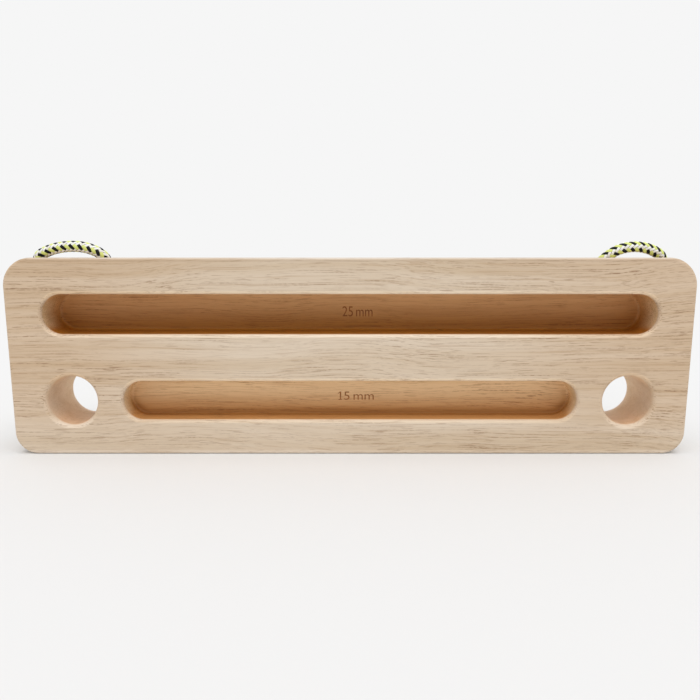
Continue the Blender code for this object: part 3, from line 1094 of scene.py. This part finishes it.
@dataclass
class Board:
    """The board, with its slots, holes and bores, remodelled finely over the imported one.

    A mouth is a flare's width at the face and its depth.
    """

    bores: Bores
    upper: RoutedSlot = RoutedSlot(0.385, 0.025, 0.090)
    lower: RoutedSlot = RoutedSlot(0.289, 0.015, 0.035)
    slot_height: float = 0.025
    floor_fillet: float = 0.002
    lip_round: float = 0.0025
    top_corner: float = 0.018
    bottom_corner: float = 0.014
    edge_round: float = 0.0022
    hole_diameter: float = 0.0315
    hole_from_end: float = 0.038
    hole_lip: float = 0.0032
    top_mouth: tuple[float, float] = (0.022, 0.0075)
    top_mouth_before_middle: float = 0.0018
    rear_mouth: tuple[float, float] = (0.016, 0.003)
    throat: float = 0.0066
    round_steps: int = 6
    top_corner_steps: int = 20
    bottom_corner_steps: int = 16
    slot_end_steps: int = 20
    hole_steps: int = 96
    bore_steps: int = 48
    mouth_steps: int = 10
    spin_steps: int = 56

    def __post_init__(self) -> None:
        """Read the board's box from the frame."""
        self.low, self.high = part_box("board")
        self.size = self.high - self.low
        self.hole_x = self.high.x - self.hole_from_end

    def build(self, material: bpy.types.Material) -> bpy.types.Object:
        """Model the board and put it in place of its node.

        Args:
            material: The wood.

        Returns:
            The board.
        """
        blank = new_piece("routed_board", self.blank())
        cutters = [new_piece("cutter", shape) for shape in self.cutters()]
        for cutter in cutters:
            cut = blank.modifiers.new("cut", "BOOLEAN")
            cut.solver = "EXACT"
            cut.object = cutter
        mesh = evaluated(blank)
        blank.modifiers.clear()
        for cutter in cutters:
            bpy.data.objects.remove(cutter, do_unlink=True)
        body = bmesh.new()
        body.from_mesh(mesh)
        self.round_rims(body)
        body.to_mesh(mesh)
        body.free()
        blank.data = mesh
        mesh.materials.clear()
        mesh.materials.append(material)
        mesh.shade_smooth()
        mesh.set_sharp_from_angle(angle=SHARP_ANGLE)
        weighted = blank.modifiers.new("weighted_normals", "WEIGHTED_NORMAL")
        weighted.keep_sharp = True
        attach(blank, Body.BOARD.value)
        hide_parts("board")
        return blank

    def front_edge(self) -> FrontEdge:
        """Describe the painted highlights and shade along the front face's long edges."""
        return FrontEdge(self.low.y, self.low.z, self.high.z)

    def slot_recess(self, slot: RoutedSlot, **looks: Colour | Span | float) -> Recess:
        """Describe a slot, with its darker wood, painted shade and painted light, for the wood's finish."""
        half = self.slot_height / 2
        reach = slot.length / 2 - half
        return Recess(slot.height, reach, half, self.low.y, slot.depth, self.lip_round, **looks)

    def recesses(self) -> list[Recess]:
        """Describe the two slots and the pair of round holes, with their darker wood, painted shade and
        painted light, for the wood's finish.

        Returns:
            The upper slot, the lower slot and the holes.
        """
        # The slots: partly the routed wood's darker colour and partly painted shade inside, with painted
        # light on the end walls and painted highlights on the lips.
        upper = self.slot_recess(
            self.upper, low=(0.567, 0.271, 0.037), high=(1.12, 0.82, 0.485), corner=(1.05, 1.08, 1.15),
            lower_lip=(1.21, 1.24, 1.27),
        )
        lower = self.slot_recess(
            self.lower, low=(0.80, 0.49, 0.226), high=(1.24, 1.09, 0.82), ramp=(-0.9, 0.9),
            corner=(0.61, 0.48, 0.215), corner_reach=0.0065, end_front=(1.06, 1.06, 0.92),
            end_deep=(1.10, 1.22, 1.25), lower_lip=(1.06, 1.04, 1.0),
        )
        # The holes: painted light and shade, browner on the lower side, paler higher up and towards the rear,
        # with a pale painted ring at the rear rim and painted highlights on the lips.
        holes = Recess(
            middle=self.lower.height, reach=0.0, radius=self.hole_diameter / 2, front=self.low.y,
            depth=self.size.y, lip_round=self.hole_lip, aside=self.hole_x, low=(1.06, 0.87, 0.73),
            high=(1.29, 1.20, 1.09), ramp=(-0.9, 0.6), corner=(1.25, 1.40, 1.75), corner_reach=0.0060,
            corner_depth=0.0080, end_front=(1.0, 1.0, 1.0), end_deep=(1.0, 1.0, 1.0), far=(1.14, 1.30, 1.42),
            polish=0.7, lower_lip=(1.14, 1.18, 1.24), upper_lip_highlight=(1.22, 1.22, 1.20),
        )
        return [upper, lower, holes]

    def blank(self) -> bmesh.types.BMesh:
        """Shape the blank.

        Returns:
            A plank whose four corners are rounded.
        """
        body = self.block(self.low, self.high)
        middle = (self.low.z + self.high.z) / 2
        top = [edge for edge in body.edges if self.runs_back(edge) and edge.verts[0].co.z > middle]
        bevel(body, top, self.top_corner, self.top_corner_steps)
        foot = self.low.z + HAIR
        bottom = [edge for edge in body.edges if self.runs_back(edge) and edge.verts[0].co.z < foot]
        bevel(body, bottom, self.bottom_corner, self.bottom_corner_steps)
        return body

    def block(self, low: Vector, high: Vector) -> bmesh.types.BMesh:
        """Start a box.

        Args:
            low: Its lowest corner.
            high: Its highest corner.

        Returns:
            The box.
        """
        body = bmesh.new()
        bmesh.ops.create_cube(body, size=1.0)
        bmesh.ops.scale(body, vec=high - low, verts=body.verts)
        bmesh.ops.translate(body, vec=(high + low) / 2, verts=body.verts)
        return body

    def runs_back(self, edge: bmesh.types.BMEdge) -> bool:
        """Tell whether an edge runs straight from front to back."""
        way = edge.verts[0].co - edge.verts[1].co
        return abs(way.y) > 0.9 * way.length

    def cutters(self) -> list[bmesh.types.BMesh]:
        """Shape everything that is routed or drilled out.

        Returns:
            The cutters.
        """
        shapes = [self.slot(self.upper), self.slot(self.lower)]
        back = Vector((0, self.size.y / 2 + WELL_PAST, 0))
        for end in (-1, 1):
            middle = Vector((end * self.hole_x, 0, self.lower.height))
            shapes.append(self.drill(middle - back, middle + back, self.hole_diameter / 2, self.hole_steps))
            for aside in (self.bores.pitch / 2, -self.bores.pitch / 2):
                shapes += self.bore(end * (self.bores.pair_x + aside))
        return shapes

    def slot(self, slot: RoutedSlot) -> bmesh.types.BMesh:
        """Shape a slot with round ends and a filleted floor.

        Args:
            slot: The slot's sizes.

        Returns:
            The cutter.
        """
        front, floor, half = self.low.y, self.low.y + slot.depth, self.slot_height / 2
        low = Vector((-slot.length / 2, front - WELL_PAST, slot.height - half))
        body = self.block(low, Vector((slot.length / 2, floor, slot.height + half)))
        upright = [edge for edge in body.edges if self.runs_back(edge)]
        bevel(body, upright, half * NEARLY_WHOLE, self.slot_end_steps)
        bmesh.ops.remove_doubles(body, verts=body.verts, dist=MERGE_DISTANCE)
        deep = {vert for vert in body.verts if abs(vert.co.y - floor) < MERGE_DISTANCE}
        rim = [edge for edge in body.edges if deep.issuperset(edge.verts)]
        bevel(body, rim, self.floor_fillet, self.round_steps)
        bmesh.ops.recalc_face_normals(body, faces=body.faces)
        return body

    def drill(self, start: Vector, end: Vector, radius: float, steps: int) -> bmesh.types.BMesh:
        """Shape a drilled hole between two points.

        Args:
            start: The middle of one end.
            end: The middle of the other.
            radius: The hole's radius.
            steps: How many sides it has.

        Returns:
            The cutter.
        """
        body = bmesh.new()
        way = end - start
        turn = way.to_track_quat("Z", "X").to_matrix().to_4x4()
        place = Matrix.Translation((start + end) / 2) @ turn
        shape = {"segments": steps, "radius1": radius, "radius2": radius, "depth": way.length}
        bmesh.ops.create_cone(body, cap_ends=True, matrix=place, **shape)
        return body

    def bore(self, across: float) -> list[bmesh.types.BMesh]:
        """Shape a cord bore and its two flared mouths.

        Args:
            across: Where the bore is, across the board.

        Returns:
            The three cutters.
        """
        top, rear = self.bores.mouth(across), self.bores.rear_mouth(across)
        past = self.bores.axis * WELL_PAST
        lip = Matrix.Translation((across, -self.top_mouth_before_middle, self.high.z))
        rear_lip = Matrix.Translation(rear) @ Matrix.Rotation(-QUARTER_TURN, 4, "X")
        return [
            self.drill(top - past, rear + past, self.bores.diameter / 2, self.bore_steps),
            self.flare(*self.top_mouth, lip),
            self.flare(*self.rear_mouth, rear_lip),
        ]

    def flare(self, diameter: float, depth: float, place: Matrix) -> bmesh.types.BMesh:
        """Shape a trumpet by spinning its profile.

        Args:
            diameter: Its width at the face.
            depth: How deep it goes.
            place: Where its rim's middle lies, with its own Z axis out of the face.

        Returns:
            The cutter.
        """
        profile = [(0.0, WELL_PAST), (diameter / 2, WELL_PAST)]
        for step in range(self.mouth_steps + 1):
            angle = QUARTER_TURN * step / self.mouth_steps
            inward = (diameter - self.throat) / 2 * math.sin(angle)
            profile.append((diameter / 2 - inward, HAIR - depth * (1 - math.cos(angle))))
        profile.append((0.0, HAIR - depth))
        body = bmesh.new()
        verts = [body.verts.new((out, 0, up)) for out, up in profile]
        edges = [body.edges.new(pair) for pair in zip(verts, verts[1:])]
        turn = {"axis": (0, 0, 1), "cent": (0, 0, 0), "steps": self.spin_steps, "angle": math.radians(360)}
        bmesh.ops.spin(body, geom=[*verts, *edges], use_merge=True, **turn)
        bmesh.ops.remove_doubles(body, verts=body.verts, dist=MERGE_DISTANCE)
        bmesh.ops.recalc_face_normals(body, faces=body.faces)
        bmesh.ops.transform(body, matrix=place, verts=body.verts)
        return body

    def round_rims(self, body: bmesh.types.BMesh) -> None:
        """Round the board's outer edges and the lips of its slots and holes.

        Args:
            body: The board, cut out.
        """
        bmesh.ops.remove_doubles(body, verts=body.verts, dist=MERGE_DISTANCE)
        bmesh.ops.dissolve_limit(body, angle_limit=FLAT_ANGLE, verts=body.verts, edges=body.edges)
        lips = ((self.by_hole, self.hole_lip), (self.by_slot, self.lip_round))
        for face_y in (self.low.y, self.high.y):
            for belongs, radius in (*lips, (self.by_outline, self.edge_round)):
                bevel(body, self.rims(body, face_y, belongs), radius, self.round_steps)

    def rims(
        self, body: bmesh.types.BMesh, face_y: float, belongs: Callable[[Vector], bool]
    ) -> list[bmesh.types.BMEdge]:
        """Find the sharp edges of the front or rear face whose ends pass a test."""
        return [
            edge
            for edge in body.edges
            if all(abs(end.co.y - face_y) < MERGE_DISTANCE and belongs(end.co) for end in edge.verts)
            and edge.is_manifold
            and edge.calc_face_angle() > SHARP_ANGLE
        ]

    def by_hole(self, place: Vector) -> bool:
        """Tell whether a place is on a round hole's rim."""
        away = math.hypot(abs(place.x) - self.hole_x, place.z - self.lower.height)
        return abs(away - self.hole_diameter / 2) < RIM_TOLERANCE

    def by_slot(self, place: Vector) -> bool:
        """Tell whether a place is on a slot's rim."""
        half, slots = self.slot_height / 2, (self.upper, self.lower)
        past = [(max(abs(place.x) - (slot.length / 2 - half), 0), slot.height) for slot in slots]
        return any(abs(math.hypot(aside, place.z - height) - half) < RIM_TOLERANCE for aside, height in past)

    def by_outline(self, place: Vector) -> bool:
        """Tell whether a place is on the board's outline."""
        near_end = self.high.x - abs(place.x) < self.top_corner + HAIR
        edge = min(place.z - self.low.z, self.high.z - place.z, self.high.x - abs(place.x))
        return edge < HAIR or (near_end and not self.by_hole(place) and not self.by_slot(place))


@dataclass
class DepthMark:
    """A slot's depth, burnt into its floor in plain figures.

    Attributes:
        middle: The middle of the text, across and up.
        width: The text's full width.
        height: The height of its figures.
        floor: The place of the slot's floor.
        kerning: How much wider or narrower the first gap is, as the font counts it.
        serif_one: Whether the first figure is a one that gets a flag and a foot.
        word_gap: The gap between words, as a share of the font's own.
        proud: How thick the mark is.
        stroke: How wide the flag and the foot are. This and their lengths are shares of the height.
        flag_place: How far left and up the flag's middle lies, in the same shares.
    """

    name: str
    text: str
    middle: tuple[float, float]
    width: float
    height: float
    floor: float
    kerning: float = 0.0
    serif_one: bool = False
    word_gap: float = 0.55
    proud: float = 0.00004
    stroke: float = 0.08
    foot_length: float = 0.40
    flag_length: float = 0.30
    flag_place: tuple[float, float] = (0.12, 0.37)
    flag_slant: float = math.radians(42)

    def build(self, material: bpy.types.Material) -> bpy.types.Object:
        """Draw the mark and lay it on the slot's floor.

        Args:
            material: The burnt wood.

        Returns:
            The mark.
        """
        curve = bpy.data.curves.new(self.name, "FONT")
        curve.body = self.text
        curve.extrude = self.proud
        curve.space_word = self.word_gap
        curve.body_format[0].kerning = self.kerning
        writing = bpy.data.objects.new(self.name, curve)
        bpy.context.scene.collection.objects.link(writing)
        mesh = evaluated(writing)
        bpy.data.objects.remove(writing, do_unlink=True)
        places = np.array([vertex.co for vertex in mesh.vertices])
        low, high = places.min(axis=0), places.max(axis=0)
        body = bmesh.new()
        body.from_mesh(mesh)
        middle = (low + high) / 2
        bmesh.ops.translate(body, vec=(-middle[0], -middle[1], 0), verts=body.verts)
        scale = (self.width / (high[0] - low[0]), self.height / (high[1] - low[1]), 1)
        bmesh.ops.scale(body, vec=scale, verts=body.verts)
        if self.serif_one:
            self.add_serifs(body)
        stand = Matrix.Translation((self.middle[0], self.floor, self.middle[1]))
        turn = Matrix.Rotation(QUARTER_TURN, 4, "X")
        bmesh.ops.transform(body, matrix=stand @ turn, verts=body.verts)
        piece = new_piece(self.name, body, material)
        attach(piece, Body.BOARD.value)
        return piece

    def add_serifs(self, body: bmesh.types.BMesh) -> None:
        """Give the one that stands first a slanting flag and a flat foot.

        Args:
            body: The figures, with their middle at the origin.
        """
        stroke = self.height * self.stroke
        stem = stroke / 2 - self.width / 2
        aside, up = (self.height * share for share in self.flag_place)
        foot = (stem, (stroke - self.height) / 2, self.foot_length, 0.0)
        flag = (stem - aside, up, self.flag_length, self.flag_slant)
        for across, up, length, slant in (foot, flag):
            place = Matrix.Translation((across, up, 0)) @ Matrix.Rotation(slant, 4, "Z")
            size = Matrix.Diagonal((self.height * length, stroke, self.proud * 1.6, 1))
            bmesh.ops.create_cube(body, size=1.0, matrix=place @ size)


def report(piece: bpy.types.Object) -> None:
    """Log a piece's name and how many faces it has."""
    LOG.info("%s: %d faces", piece.name, len(piece.data.polygons))


def main() -> None:
    """Build the camera, the cords, the board and its marks, and the studio."""
    logging.basicConfig(level=logging.INFO, format="%(message)s")
    bpy.context.scene.view_settings.view_transform = "Standard"
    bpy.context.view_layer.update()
    StudioCamera().build()
    bores = Bores()
    braid = CordFinish().make()
    left = Cord(
        side="left", middle=-bores.pair_x, loop=LEFT_LOOP_ROUTE, phase=0.50, start=-0.5, twist=6.0,
        legs=Body.LEFT_LEGS, crown=Body.LEFT_LOOP, bores=bores,
    )
    right = Cord(
        side="right", middle=bores.pair_x, loop=RIGHT_LOOP_ROUTE, phase=1.78, start=0.6, twist=-6.0,
        legs=Body.RIGHT_LEGS, crown=Body.RIGHT_LOOP, bores=bores,
    )
    for cord in (left, right):
        report(cord.build(braid))
    board = Board(bores)
    report(board.build(WoodFinish().make(board.front_edge(), board.recesses())))
    upper_mark = DepthMark(
        name="upper_depth_mark", text="25 mm", middle=(0.005, board.upper.height), width=0.0200,
        height=0.0068, floor=board.low.y + board.upper.depth,
    )
    lower_mark = DepthMark(
        name="lower_depth_mark", text="15 mm", middle=(0.0045, board.lower.height), width=0.0225,
        height=0.0056, floor=board.low.y + board.lower.depth, kerning=-4.0, serif_one=True,
    )
    report(upper_mark.build(BurntFinish("dark_burn", (0.19, 0.058, 0.005)).make()))
    report(lower_mark.build(BurntFinish("pale_burn", (0.275, 0.105, 0.028)).make()))
    report(Studio().build())


if __name__ == "__main__":
    main()
